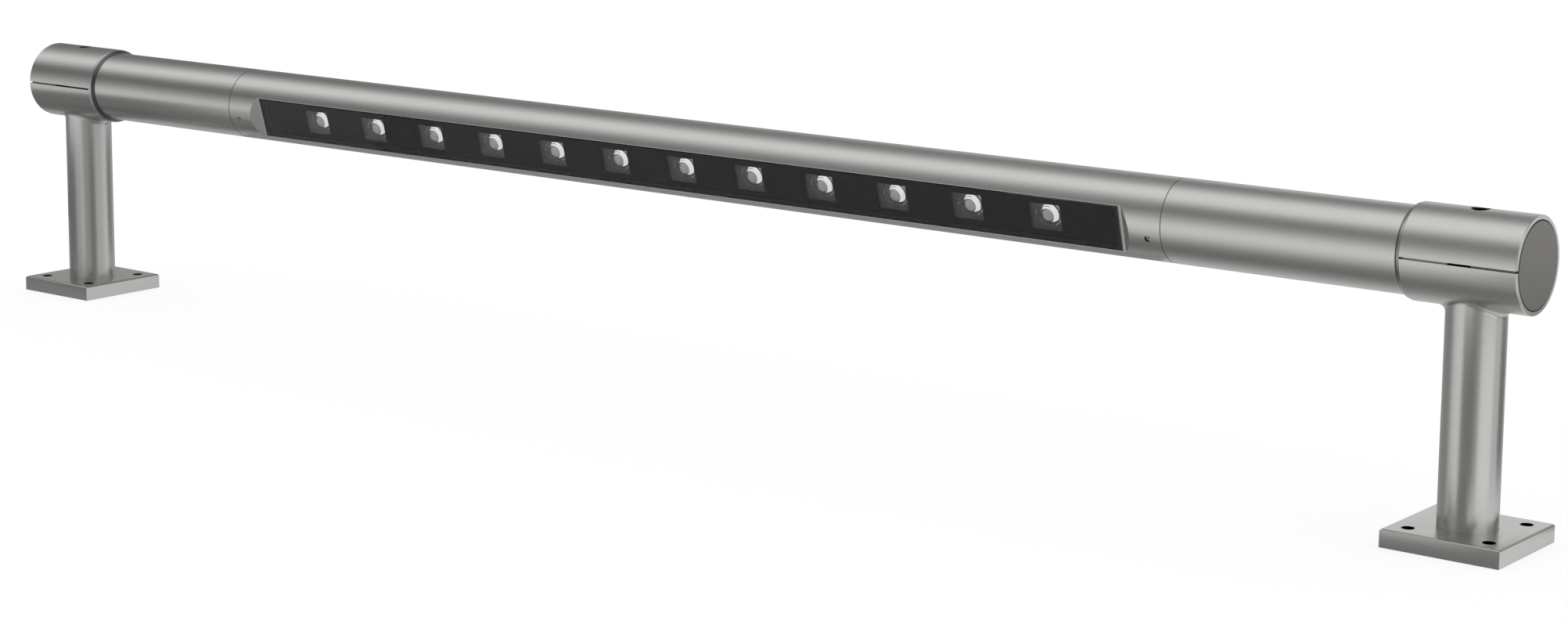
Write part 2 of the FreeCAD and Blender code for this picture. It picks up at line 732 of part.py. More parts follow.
def heat_sink():
    body = new_body("heat_sink")
    bar = sketch_on(body, "YZ_Plane")
    circle(bar, "fits.heat_sink_r")
    pad(body, bar, "2 * fits.heat_sink_half_l", symmetric=True)
    top = sketch_on(body, "XY_Plane", "fits.heat_top")
    oblong(top, "2 * fits.heat_sink_half_l", "2 * fits.heat_sink_r")
    cut(body, top)
    slots = sketch_on(body, "XY_Plane", "fits.leg_foot")
    slot_y = "(fits.mask_half_w - dims.mask_leg / 2)"
    for sign in (-1, 1):
        slot_half = "dims.mask_leg / 2 + dims.mask_slot_clearance"
        oblong(slots, "2 * fits.heat_sink_half_l", slot_half, "0", f"{sign} * {slot_y}")
    cut(body, slots)
    duct = sketch_on(body, "YZ_Plane")
    circle(duct, "fits.duct_r", "0", "fits.duct_z")
    cut(body, duct, symmetric=True)
    thread = sketch_on(body, "XY_Plane", "fits.duct_z")
    circle(thread, "fits.board_screw_r + dims.thread_clearance", "-fits.screw_half_span")
    repeat_along_x(body, cut(body, thread), thread, "floor(dims.led_count / 2)", "2 * fits.screw_half_span")
    place_in_lamp(body)
    keep(body)


def board_screw(number, x):
    body = new_body(f"board_screw_{number:02d}")
    head_r = "dims.board_head_diameter / 2"
    tip = "fits.board_top - dims.board_screw_length"
    revolve(body, [
        ("0", tip),
        ("fits.board_screw_r", tip),
        ("fits.board_screw_r", "fits.board_top"),
        (head_r, "fits.board_top"),
        (head_r, "fits.board_top + dims.board_head_height - dims.screw_edge"),
        (f"{head_r} - dims.screw_edge", "fits.board_top + dims.board_head_height"),
        ("0", "fits.board_top + dims.board_head_height"),
    ], "V_Axis")
    place_in_lamp(body, x)
    return body


def lens(number, x):
    body = new_body(f"lens_{number:02d}")
    cavity_top = "fits.board_top + dims.lens_cavity_height"
    revolve(body, [
        ("dims.lens_cavity_diameter / 2", "fits.board_top"),
        ("dims.lens_foot_diameter / 2", "fits.board_top"),
        ("dims.lens_diameter / 2", "fits.lens_under"),
        ("dims.lens_diameter / 2", "fits.lens_top"),
        ("0", "fits.lens_top"),
        ("0", cavity_top),
        ("dims.lens_cavity_diameter / 2", cavity_top),
    ], "V_Axis")
    plate = sketch_on(body, "XY_Plane", "fits.lens_under")
    half_l = "dims.lens_window_length / 2 - dims.lens_clearance"
    half_w = "dims.lens_window_width / 2 - dims.lens_clearance"
    oblong(plate, half_l, half_w)
    pad(body, plate, "dims.lens_plate")
    place_in_lamp(body, x)
    keep(body)


def led(number, x):
    body = new_body(f"led_{number:02d}")
    package = sketch_on(body, "XY_Plane", "fits.board_top")
    oblong(package, "dims.led_side / 2", "dims.led_side / 2")
    pad(body, package, "dims.led_height")
    dome = sketch_on(body, "XY_Plane", "fits.board_top + dims.led_height")
    circle(dome, "dims.led_dome_diameter / 2")
    pad(body, dome, "dims.led_dome_height")
    place_in_lamp(body, x)
    keep(body)


def board_connector():
    body = new_body("board_connector")
    block = sketch_on(body, "XY_Plane", "fits.board_top")
    oblong(block, "dims.connector_length / 2", "dims.connector_width / 2",
           "fits.connector_x - dims.connector_length / 2")
    pad(body, block, "dims.connector_height")
    place_in_lamp(body)
    keep(body)


def inner_lead(number, sign):
    body = new_body(f"inner_lead_{number}")
    section = sketch_on(body, "YZ_Plane", "fits.connector_x")
    circle(section, "dims.lead_diameter / 2", f"{sign} * dims.lead_spacing / 2", "fits.lead_z")
    pad(body, section, "fits.driver_x - fits.connector_x")
    place_in_lamp(body)
    return body


def driver():
    body = new_body("driver")
    end = "(fits.driver_x + dims.driver_length)"
    revolve(body, [
        ("fits.driver_x", "0"),
        (end, "0"),
        (end, "fits.driver_r - dims.driver_edge"),
        (f"{end} - dims.driver_edge", "fits.driver_r"),
        ("fits.driver_x + dims.driver_edge", "fits.driver_r"),
        ("fits.driver_x", "fits.driver_r - dims.driver_edge"),
    ], "H_Axis")
    place_in_lamp(body)
    keep(body)


def write_parts():
    doc.recompute()
    for item in doc.Objects:
        if {"Invalid", "Error"} & set(item.State):
            raise RuntimeError(f"{item.Label} failed: {item.State}")
    for piece in parts:
        if piece.Shape.isNull() or not piece.Shape.isValid():
            raise RuntimeError(f"{piece.Label} has no valid shape")
    os.makedirs("parts", exist_ok=True)
    for piece in parts:
        piece.Shape.exportStep(f"parts/{piece.Label}.step")
        print(f"{piece.Label}: {len(piece.Shape.Solids)} solid, {piece.Shape.Volume:.1f} mm3")


for end in SIDES:
    base_plate(end)
    post(end)
    clamp_saddle(end)
    clamp_cap(end)
    clamp_collar(end)
    end_plug(end)
    end_plug_seal(end)
    rail_tube(end)
    tube_bung(end)
    coupling(end)
    seam_gasket(end)
group("clamp_screws", [clamp_screw(end) for end in SIDES])
light_housing()
group("set_screws", [set_screw(end) for end in SIDES])
cover_glass()
glass_gasket()
mask()
heat_sink()
circuit_board()
screw_places = range(SIZES["led_count"] // 2)
group("board_screws", [
    board_screw(i + 1, f"2 * {i} * dims.led_pitch - fits.screw_half_span") for i in screw_places
])
for i in range(SIZES["led_count"]):
    place = f"{i} * dims.led_pitch - fits.led_half_span"
    lens(i + 1, place)
    led(i + 1, place)
board_connector()
group("inner_leads", [inner_lead(1, -1), inner_lead(2, 1)])
driver()
write_parts()
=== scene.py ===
import math

import bpy
from mathutils import Matrix, Vector


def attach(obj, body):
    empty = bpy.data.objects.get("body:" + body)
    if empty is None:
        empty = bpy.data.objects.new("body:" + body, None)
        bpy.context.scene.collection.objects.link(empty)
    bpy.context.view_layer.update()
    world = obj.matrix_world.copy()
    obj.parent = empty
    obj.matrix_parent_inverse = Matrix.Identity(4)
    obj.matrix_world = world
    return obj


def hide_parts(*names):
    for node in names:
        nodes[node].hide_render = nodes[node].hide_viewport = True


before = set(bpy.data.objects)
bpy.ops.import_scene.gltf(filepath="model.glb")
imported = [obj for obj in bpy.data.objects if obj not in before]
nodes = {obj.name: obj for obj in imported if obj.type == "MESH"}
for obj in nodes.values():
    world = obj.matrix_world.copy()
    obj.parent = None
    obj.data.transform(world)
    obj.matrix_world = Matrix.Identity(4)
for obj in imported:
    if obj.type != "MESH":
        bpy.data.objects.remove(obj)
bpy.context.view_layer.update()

# Base plates: two square feet, sawn from flat stainless bar, with a milled bevel round the top edge and four
# drilled holes. All faces are ground in straight strokes: along the foot on top, level on the four sides.
POST_X = 0.575
PLATE_TOP = 0.0105
PLATE_HOLE_XY, PLATE_HOLE_RIM_R = 0.024, 0.0038
PLATE_SHARP_FROM = 55
STEEL = (0.60, 0.595, 0.58)
STEEL_SPREAD = 0.015
STROKE_BUMP, STROKE_DEPTH = 0.02, 0.00002
GRAIN_LOW, GRAIN_HIGH = 0.3, 0.7
# Painted shade inside drilled holes.
HOLE_SHADE = 0.015
HOLE_FADE_FROM, HOLE_FADE_TO = 0.00004, 0.00002
SAME_POINT = 0.000001
BROAD_FACES_LEAD = 100


def new_finish(name):
    """Start a material with one shader, and return it with its node list, links and shader."""
    finish = bpy.data.materials.new(name)
    finish.use_nodes = True
    tree = finish.node_tree
    return finish, tree.nodes, tree.links, tree.nodes["Principled BSDF"]


def stroke_grain(tree_nodes, links, stroke_scale, place):
    """Fine grinding strokes: noise stretched out along the strokes by unequal scales on X, Y and Z."""
    stretch = tree_nodes.new("ShaderNodeMapping")
    stretch.inputs["Scale"].default_value = stroke_scale
    links.new(place, stretch.inputs["Vector"])
    grain = tree_nodes.new("ShaderNodeTexNoise")
    grain.inputs["Scale"].default_value = 1.0
    grain.inputs["Detail"].default_value = 3.0
    grain.inputs["Roughness"].default_value = 0.6
    links.new(stretch.outputs["Vector"], grain.inputs["Vector"])
    return grain.outputs["Fac"]


def spread(tree_nodes, links, grain, low, high):
    """Turn a grain, which lies mostly in the middle of its range, into values from low to high."""
    span = tree_nodes.new("ShaderNodeMapRange")
    span.inputs["From Min"].default_value = GRAIN_LOW
    span.inputs["From Max"].default_value = GRAIN_HIGH
    span.inputs["To Min"].default_value = low
    span.inputs["To Max"].default_value = high
    links.new(grain, span.inputs["Value"])
    return span.outputs["Result"]


def tint(tree_nodes, links, share, dark, light):
    """Blend two colours by a share."""
    blend = tree_nodes.new("ShaderNodeMix")
    blend.data_type = "RGBA"
    blend.inputs["A"].default_value = (*dark, 1)
    blend.inputs["B"].default_value = (*light, 1)
    links.new(share, blend.inputs["Factor"])
    return blend.outputs["Result"]


def relief(tree_nodes, links, shader, grain, strength, depth):
    """Raise a grain off the surface as fine bumps."""
    bump = tree_nodes.new("ShaderNodeBump")
    bump.inputs["Strength"].default_value = strength
    bump.inputs["Distance"].default_value = depth
    links.new(grain, bump.inputs["Height"])
    links.new(bump.outputs["Normal"], shader.inputs["Normal"])


def brushed_steel(name, stroke_scale, face_scale=None, colour=STEEL, roughness=(0.26, 0.31)):
    """Satin stainless steel. Faces that look up may have strokes of their own."""
    finish, tree_nodes, links, shader = new_finish(name)
    place = tree_nodes.new("ShaderNodeTexCoord").outputs["Object"]
    strokes = stroke_grain(tree_nodes, links, stroke_scale, place)
    if face_scale:
        level = tree_nodes.new("ShaderNodeSeparateXYZ")
        links.new(tree_nodes.new("ShaderNodeNewGeometry").outputs["Normal"], level.inputs["Vector"])
        pick = tree_nodes.new("ShaderNodeMix")
        links.new(level.outputs["Z"], pick.inputs["Factor"])
        links.new(strokes, pick.inputs["A"])
        links.new(stroke_grain(tree_nodes, links, face_scale, place), pick.inputs["B"])
        strokes = pick.outputs["Result"]
    dark = tuple((1 - STEEL_SPREAD) * c for c in colour)
    light = tuple((1 + STEEL_SPREAD) * c for c in colour)
    links.new(tint(tree_nodes, links, strokes, dark, light), shader.inputs["Base Color"])
    links.new(spread(tree_nodes, links, strokes, *roughness), shader.inputs["Roughness"])
    shader.inputs["Metallic"].default_value = 1.0
    relief(tree_nodes, links, shader, strokes, STROKE_BUMP, STROKE_DEPTH)
    return finish


def reckon(finish, kind, place, other=None):
    """One step of reckoning with places in a finish, against a fixed place or another reckoned one."""
    step = finish.node_tree.nodes.new("ShaderNodeVectorMath")
    step.operation = kind
    finish.node_tree.links.new(place, step.inputs[0])
    if isinstance(other, tuple):
        step.inputs[1].default_value = other
    elif other:
        finish.node_tree.links.new(other, step.inputs[1])
    return step.outputs["Value" if kind == "LENGTH" else "Vector"]


def paint_shade(finish, measure, low, high, dark):
    """Blend a finish into a painted shade where a measure passes from low to high."""
    tree_nodes, links = finish.node_tree.nodes, finish.node_tree.links
    reach = tree_nodes.new("ShaderNodeMapRange")
    reach.inputs["From Min"].default_value = low
    reach.inputs["From Max"].default_value = high
    links.new(measure, reach.inputs["Value"])
    blend = tree_nodes.new("ShaderNodeMix")
    blend.data_type = "RGBA"
    blend.inputs["B"].default_value = (dark, dark, dark, 1)
    shader = tree_nodes["Principled BSDF"]
    links.new(shader.inputs["Base Color"].links[0].from_socket, blend.inputs["A"])
    links.new(reach.outputs["Result"], blend.inputs["Factor"])
    links.new(blend.outputs["Result"], shader.inputs["Base Color"])


def stood_up(finish, turn, centre):
    """Places on a piece, turned back about a line along the rail so that what leans stands upright."""
    upright = finish.node_tree.nodes.new("ShaderNodeVectorRotate")
    upright.rotation_type = "X_AXIS"
    upright.inputs["Center"].default_value = centre
    upright.inputs["Angle"].default_value = -turn
    place = finish.node_tree.nodes.new("ShaderNodeTexCoord").outputs["Object"]
    finish.node_tree.links.new(place, upright.inputs["Vector"])
    return upright.outputs["Vector"]


def shade_holes(finish, offsets, radius, low, high, turn=0.0, centre=(0, 0, 0), mirrored=True):
    """Paint shade on drilled walls between two heights.

    The offsets lead from the light's middle to a hole's axis, on every side of it where they are mirrored.
    """
    place = stood_up(finish, turn, centre)
    for offset in offsets:
        if mirrored:
            place = reckon(finish, "ABSOLUTE", place)
        place = reckon(finish, "SUBTRACT", place, offset)
    on_axis = reckon(finish, "MINIMUM", reckon(finish, "MAXIMUM", place, (0, 0, low)), (0, 0, high))
    away = reckon(finish, "LENGTH", reckon(finish, "SUBTRACT", place, on_axis))
    paint_shade(finish, away, radius + HOLE_FADE_FROM, radius + HOLE_FADE_TO, HOLE_SHADE)


def dress(finish, *names):
    """Give CAD pieces their finish."""
    for name in names:
        nodes[name].data.materials.clear()
        nodes[name].data.materials.append(finish)


def ease_edges(name, sharp_from):
    """Join a piece's faces into one skin whose sheen runs on over every edge that bends less than this."""
    one_skin = nodes[name].modifiers.new("one_skin", "WELD")
    one_skin.merge_threshold = SAME_POINT
    true_edges = nodes[name].modifiers.new("true_edges", "EDGE_SPLIT")
    true_edges.split_angle = math.radians(sharp_from)
    even_sheen = nodes[name].modifiers.new("even_sheen", "WEIGHTED_NORMAL")
    even_sheen.weight = BROAD_FACES_LEAD


plate_steel = brushed_steel("plate_steel", (30, 30, 2500), face_scale=(30, 2500, 30))
to_plate_holes = [(POST_X, 0, 0), (PLATE_HOLE_XY, PLATE_HOLE_XY, 0)]
# Painted shade darkens the walls and countersunk rims of the four holes.
shade_holes(plate_steel, to_plate_holes, PLATE_HOLE_RIM_R, 0.0, PLATE_TOP)
for plate in ("base_plate_left", "base_plate_right"):
    dress(plate_steel, plate)
    ease_edges(plate, PLATE_SHARP_FROM)

# Posts: two lengths of round stainless tube that stand in the plates' seats and are welded there, out of
# sight. They are ground round and round, so the strokes run as level rings.
post_steel = brushed_steel("post_steel", (40, 40, 2500))
dress(post_steel, "post_left", "post_right")

# Rail clamps: a turned stainless sleeve, slit at mid-height. The lower saddle has a neck that plugs into the
# post, the upper cap is pulled down on the rail by one screw, and an unslit collar tapers down to the rail.
ROUND_STROKES = (2500, 40, 40)
CROWN_HOLE_R, CROWN_HOLE_FLOOR, CROWN_HOLE_SHADE_TO = 0.0055, 0.175, 0.1860
# Painted shade: the collar's steel is darker than the sleeve's, and darker still on its taper.
COLLAR_SHADED_STEEL, COLLAR_TAPER_SHADE = (0.45, 0.447, 0.435), 0.15
COLLAR_TAPER_TO, COLLAR_TAPER_FROM = 0.53885, 0.53895


def out_from_middle(finish):
    """How far a point on the rail lies from the middle of the light, either way."""
    place = finish.node_tree.nodes.new("ShaderNodeTexCoord").outputs["Object"]
    return reckon(finish, "LENGTH", reckon(finish, "MULTIPLY", place, (1, 0, 0)))


clamp_steel = brushed_steel("clamp_steel", ROUND_STROKES)
# Painted shade darkens the screw's counterbore in each crown.
shade_holes(clamp_steel, [(POST_X, 0, 0)], CROWN_HOLE_R, CROWN_HOLE_FLOOR, CROWN_HOLE_SHADE_TO)
dress(clamp_steel, "clamp_saddle_left", "clamp_saddle_right", "clamp_cap_left", "clamp_cap_right")
# The collar is painted darker than the sleeve and darker still on its taper, as painted shade.
collar_shaded_steel = brushed_steel("collar_shaded_steel", ROUND_STROKES, colour=COLLAR_SHADED_STEEL)
paint_shade(collar_shaded_steel, out_from_middle(collar_shaded_steel), COLLAR_TAPER_FROM, COLLAR_TAPER_TO, COLLAR_TAPER_SHADE)
dress(collar_shaded_steel, "clamp_collar_left", "clamp_collar_right")

# Clamp screws: two socket head screws of plain stainless steel, sunk in the crowns of the caps. They are cold
# formed and tumbled, so their sheen is even, with no strokes, and each pulls its cap down on the rail.
SCREW_GRAIN, SCREW_STEEL, SCREW_ROUGHNESS = (900, 900, 900), (0.5, 0.5, 0.49), (0.22, 0.34)
screw_steel = brushed_steel("screw_steel", SCREW_GRAIN, colour=SCREW_STEEL, roughness=SCREW_ROUGHNESS)
dress(screw_steel, "clamp_screws")

# End plugs: turned stainless discs that close the clamps' ends, faced to a matte, darker and warmer finish,
# each with a black rubber ring in the gap round its rim.
PLUG_GRAIN, PLUG_STEEL, PLUG_ROUGHNESS = (700, 700, 700), (0.285, 0.280, 0.263), (0.45, 0.55)
RUBBER_GRAIN, RUBBER_ROUGHNESS = (1500, 1500, 1500), (0.6, 0.75)
RUBBER_LIFT = 1.6
RUBBER_BUMP, RUBBER_DEPTH = 0.2, 0.00005
plug_steel = brushed_steel("plug_steel", PLUG_GRAIN, colour=PLUG_STEEL, roughness=PLUG_ROUGHNESS)
dress(plug_steel, "end_plug_left", "end_plug_right")


def rubber(name, colour, gloss=0.3):
    """Moulded rubber, plastic or lacquer: dull, with an even fine grain."""
    finish, tree_nodes, links, shader = new_finish(name)
    place = tree_nodes.new("ShaderNodeTexCoord").outputs["Object"]
    grain = stroke_grain(tree_nodes, links, RUBBER_GRAIN, place)
    light = tuple(RUBBER_LIFT * c for c in colour)
    links.new(tint(tree_nodes, links, grain, colour, light), shader.inputs["Base Color"])
    links.new(spread(tree_nodes, links, grain, *RUBBER_ROUGHNESS), shader.inputs["Roughness"])
    relief(tree_nodes, links, shader, grain, RUBBER_BUMP, RUBBER_DEPTH)
    shader.inputs["Specular IOR Level"].default_value = gloss
    return finish


seal_rubber = rubber("seal_rubber", (0.012, 0.012, 0.012))
dress(seal_rubber, "end_plug_seal_left", "end_plug_seal_right")

# Rail tubes and their bungs: round stainless handrail tube, brushed round, with painted shade where it runs
# into the clamps, deeper on the left, and a moulded rubber bung that passes the cable at the clamp end.
CLAMPED_FROM, CLAMPED_FULLY = 0.5375, 0.5400
# Painted shade on each tube where it runs into its clamp, deeper on the left.
for side, clamped_shade in (("left", 0.05), ("right", 0.36)):
    tube_shaded_steel = brushed_steel(f"tube_shaded_steel_{side}", ROUND_STROKES)
    paint_shade(tube_shaded_steel, out_from_middle(tube_shaded_steel), CLAMPED_FROM, CLAMPED_FULLY, clamped_shade)
    dress(tube_shaded_steel, f"rail_tube_{side}")
dress(seal_rubber, "tube_bung_left", "tube_bung_right")

# Couplings and seam gaskets: turned aluminium sleeves inside the joints of the rail, and the thin flat rubber
# rings that show as dark seams.
ALUMINIUM, ALUMINIUM_STROKES = (0.72, 0.72, 0.73), (1500, 60, 60)
aluminium = brushed_steel("aluminium", ALUMINIUM_STROKES, colour=ALUMINIUM, roughness=(0.35, 0.45))
dress(aluminium, "coupling_left", "coupling_right")
seam_rubber = rubber("seam_rubber", (0.08, 0.08, 0.08))
dress(seam_rubber, "seam_gasket_left", "seam_gasket_right")

# Light housing: the lit middle section, a thick stainless tube with a long milled flat that ends in two
# slopes. It is brushed round like the rail, and hexagon socket set screws hold its couplings. Painted shade
# darkens the inside of the lamp's pocket and the right set screw's hole.
RAIL_HEIGHT, LAMP_TURN = 0.16, math.radians(105.5)
HOUSING_SHARP_FROM = 15
POCKET_HALF = (0.370, 0.0140, 0.0199)
POCKET_FADE_FROM, POCKET_FADE_TO, POCKET_SHADE = 0.0001, 0.00005, 0.004
SET_SCREW_X, SET_SCREW_TURN = 0.3805, math.radians(110)
SET_HOLE_R, SET_HOLE_FROM, SET_HOLE_TO = 0.00205, 0.180, 0.1847
SET_STEEL = (0.80, 0.80, 0.79)
rail_axis = (0, 0, RAIL_HEIGHT)
rail_steel = brushed_steel("rail_steel", ROUND_STROKES)
# Painted shade in the right set screw's hole.
shade_holes(rail_steel, [(SET_SCREW_X, 0, 0)], SET_HOLE_R, SET_HOLE_FROM, SET_HOLE_TO,
            turn=SET_SCREW_TURN, centre=rail_axis, mirrored=False)
# Painted shade inside the lamp's pocket.
from_axis = reckon(rail_steel, "SUBTRACT", stood_up(rail_steel, LAMP_TURN, rail_axis), rail_axis)
past_pocket = reckon(rail_steel, "SUBTRACT", reckon(rail_steel, "ABSOLUTE", from_axis), POCKET_HALF)
out_of_pocket = reckon(rail_steel, "LENGTH", reckon(rail_steel, "MAXIMUM", past_pocket, (0, 0, 0)))
paint_shade(rail_steel, out_of_pocket, POCKET_FADE_FROM, POCKET_FADE_TO, POCKET_SHADE)
dress(rail_steel, "light_housing")
ease_edges("light_housing", HOUSING_SHARP_FROM)
set_steel = brushed_steel("set_steel", SCREW_GRAIN, colour=SET_STEEL, roughness=SCREW_ROUGHNESS)
dress(set_steel, "set_screws")

# Heat sink: an extruded aluminium bar in the housing's bore, with a flat for the circuit board and a duct
# under it. It is anodised black, so that nothing shines through the gap beside the mask.
SINK_BLACK = (0.012, 0.012, 0.013)
anodised_black = brushed_steel("anodised_black", ALUMINIUM_STROKES, colour=SINK_BLACK, roughness=(0.5, 0.6))
dress(anodised_black, "heat_sink")

# Circuit board: a long strip under black solder resist, held down on the heat sink by a row of small screws.
# At its right end a moulded ivory connector takes the two red leads that come from the driver.
board_black = rubber("board_black", (0.02, 0.02, 0.022))
dress(board_black, "circuit_board")
dress(screw_steel, "board_screws")
connector_ivory = rubber("connector_ivory", (0.55, 0.54, 0.48))
dress(connector_ivory, "board_connector")
lead_red = rubber("lead_red", (0.35, 0.03, 0.025))
dress(lead_red, "inner_leads")

# Light-emitting diodes: twelve small ceramic packages with a dome of yellow phosphor, soldered on the board
# in one row, one under each lens.
LENS_NUMBERS = [f"{i:02d}" for i in range(1, 13)]
phosphor = rubber("phosphor", (0.5, 0.4, 0.15))
dress(phosphor, *[f"led_{number}" for number in LENS_NUMBERS])

# Lenses: twelve mouldings, each with a clear oblong front plate in the mask's window. Under the plate a core,
# a satin dome in a wide silvered bevel, stands on its diode in a dark tray, with short ribs round it. The
# moulding's sizes are in millimetres, its heights from the rail's axis, and its angles in degrees.
LENS_PITCH = 0.0557
LENS_SIDES, LENS_CREASE = 96, 25
LAMP_PLACE = Matrix.Translation(rail_axis) @ Matrix.Rotation(LAMP_TURN, 4, "X")
DOME_R, DOME_TOP, DOME_DROP, DOME_STEPS, DOME_LEAN = 4.55, 15.2, 2.0, 12, -0.65
BEVEL = [
    (4.60, 13.18, -0.65),
    (5.45, 12.74, -0.39),
    (5.70, 12.61, -0.32),
    (6.20, 12.35, -0.17),
    (6.80, 11.88, 0.0),
]
# Painted shade: the bevel is dark between these angles round the lens.
BEVEL_SHADE_FROM, BEVEL_SHADE_TO = 70, 135
FOOT = [(6.85, 11.78), (6.85, 8.90), (4.30, 8.90), (4.30, 6.62), (2.90, 6.62), (2.90, 9.50)]
PLATE_HALF_L, PLATE_HALF_W, PLATE_CORNER, CORNER_STEPS = 10.95, 8.45, 0.6, 4
LOWER_EDGE = 14
PLATE_LEVELS = [(15.25, 0.0), (16.30, 0.0), (16.50, 0.2)]
TRAY_LEVELS = [(11.30, 0.0), (11.75, 0.0), (11.80, 0.05)]
RIB_FOOT, RIB_STEP = 11.78, 6
SILVER, SATIN, CLEAR, DARK = range(4)
RIBS = [
    (134, 144, 7.9, 0.20, 0.20, SATIN),
    (150, 160, 8.6, 0.28, 0.28, SATIN),
    (164, 171, 9.1, 0.25, 0.25, SATIN),
    (176, 186, 9.5, 0.28, 0.28, SATIN),
    (-60, -50, 7.7, 0.28, 0.12, SILVER),
    (-46, -36, 8.0, 0.26, 0.12, SILVER),
    (-32, -24, 8.2, 0.22, 0.10, SILVER),
    (22, 60, 8.5, 0.90, 0.30, SATIN),
    (190, 298, 7.8, 0.20, 0.03, SATIN),
]
lens_points, lens_faces, lens_parts = [], [], []


def add_loop(points):
    """Add a loop of points, given in millimetres, and return their numbers."""
    first = len(lens_points)
    lens_points.extend((x / 1000, y / 1000, z / 1000) for x, y, z in points)
    return list(range(first, len(lens_points)))


def round_loop(radius, height, lean=0.0):
    """A ring round the lens's axis, or off it by the same lean along and across the lens."""
    turns = [2 * math.pi * i / LENS_SIDES for i in range(LENS_SIDES)]
    return add_loop([(lean + radius * math.cos(a), lean + radius * math.sin(a), height) for a in turns])


def join(inner, outer, part):
    """Close the band between two loops that run the same way, the first nearer to the middle of the face."""
    for i in range(len(inner)):
        j = (i + 1) % len(inner)
        lens_faces.append((inner[i], outer[i], outer[j], inner[j]))
        lens_parts.append(part if isinstance(part, int) else part(i))


def cap(bottom, top, part):
    """Close both ends of a stack of loops."""
    lens_faces.extend([bottom[::-1], top])
    lens_parts.extend([part, part])


def slab(levels, part):
    """An oblong slab from the height and inset of each of its loops, lowest first.

    Its rim is painted dark, as painted shade over its glints, but for the lower edge.
    """
    reach_l, reach_w = PLATE_HALF_L - PLATE_CORNER, PLATE_HALF_W - PLATE_CORNER
    loops = []
    for height, inset in levels:
        corner = PLATE_CORNER - inset
        rim = []
        for quarter, (sx, sy) in enumerate(((1, 1), (-1, 1), (-1, -1), (1, -1))):
            for step in range(CORNER_STEPS + 1):
                a = math.radians(90 * (quarter + step / CORNER_STEPS))
                rim.append((sx * reach_l + corner * math.cos(a), sy * reach_w + corner * math.sin(a), height))
        loops.append(add_loop(rim))
    for lower, upper in zip(loops, loops[1:]):
        join(upper, lower, lambda i: part if i == LOWER_EDGE else DARK)
    cap(loops[0], loops[-1], part)


def shade_on_bevel(i):
    """Part of the bevel is painted dark, as painted shade."""
    return DARK if BEVEL_SHADE_FROM < 360 * i / LENS_SIDES < BEVEL_SHADE_TO else SILVER


dome_shares = [k / DOME_STEPS for k in range(1, DOME_STEPS + 1)]
dome = [(DOME_R * share, DOME_TOP - DOME_DROP * share ** 2, DOME_LEAN) for share in dome_shares]
core_parts = [SATIN] * DOME_STEPS + [SILVER, shade_on_bevel, SILVER, SILVER] + [DARK] * len(FOOT)
core = [round_loop(*place) for place in dome + BEVEL + FOOT]
for inner, outer, part in zip(core, core[1:], core_parts):
    join(inner, outer, part)
cap(core[-1], core[0], SATIN)
for low, high, radius, half, height, part in RIBS:
    section = [(radius - half, RIB_FOOT), (radius + half, RIB_FOOT), (radius, RIB_FOOT + height)]
    steps = math.ceil((high - low) / RIB_STEP)
    turns = [math.radians(low + (high - low) * k / steps) for k in range(steps + 1)]
    slices = [add_loop([(r * math.cos(a), r * math.sin(a), z) for r, z in section]) for a in turns]
    for near, far in zip(slices, slices[1:]):
        join(near, far, part)
    cap(slices[-1], slices[0], part)
slab(PLATE_LEVELS, CLEAR)
slab(TRAY_LEVELS, DARK)
lens_mesh = bpy.data.meshes.new("lens_moulding")
lens_mesh.from_pydata(lens_points, [], lens_faces)
lens_mesh.polygons.foreach_set("material_index", lens_parts)
lens_mesh.polygons.foreach_set("use_smooth", [True] * len(lens_faces))
lens_mesh.set_sharp_from_angle(angle=math.radians(LENS_CREASE))


def clear(name, bend, haze):
    """Clear glass or plastic, with a trace of haze that varies over it."""
    finish, tree_nodes, links, shader = new_finish(name)
    place = tree_nodes.new("ShaderNodeTexCoord").outputs["Object"]
    grain = stroke_grain(tree_nodes, links, (200, 200, 200), place)
    cool, white = (0.95, 0.96, 0.96), (1.0, 1.0, 1.0)
    links.new(tint(tree_nodes, links, grain, cool, white), shader.inputs["Base Color"])
    links.new(spread(tree_nodes, links, grain, 0.0, haze), shader.inputs["Roughness"])
    shader.inputs["Transmission Weight"].default_value = 1.0
    shader.inputs["IOR"].default_value = bend
    return finish


lens_silver = brushed_steel("lens_silver", (600, 600, 600), colour=(0.94, 0.94, 0.93), roughness=(0.10, 0.16))
lens_satin = brushed_steel("lens_satin", (800, 800, 800), colour=(0.30, 0.30, 0.295), roughness=(0.16, 0.24))
lens_clear = clear("lens_clear", 1.30, 0.01)
lens_dark = rubber("lens_dark", (0.015, 0.015, 0.016))
for finish in (lens_silver, lens_satin, lens_clear, lens_dark):
    lens_mesh.materials.append(finish)
for i, number in enumerate(LENS_NUMBERS):
    lens_moulding = bpy.data.objects.new(f"lens_moulding_{number}", lens_mesh)
    bpy.context.scene.collection.objects.link(lens_moulding)
    along = LENS_PITCH * (i - (len(LENS_NUMBERS) - 1) / 2)
    lens_moulding.matrix_world = LAMP_PLACE @ Matrix.Translation((along, 0, 0))
    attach(lens_moulding, "rail")
    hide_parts(f"lens_{number}")

# Mask: a long channel of matte black plastic behind the glass, with one oblong window for each lens. Its two
# legs stand in slots along the heat sink.
mask_black = rubber("mask_black", (0.003, 0.003, 0.003), gloss=0.05)
dress(mask_black, "mask")

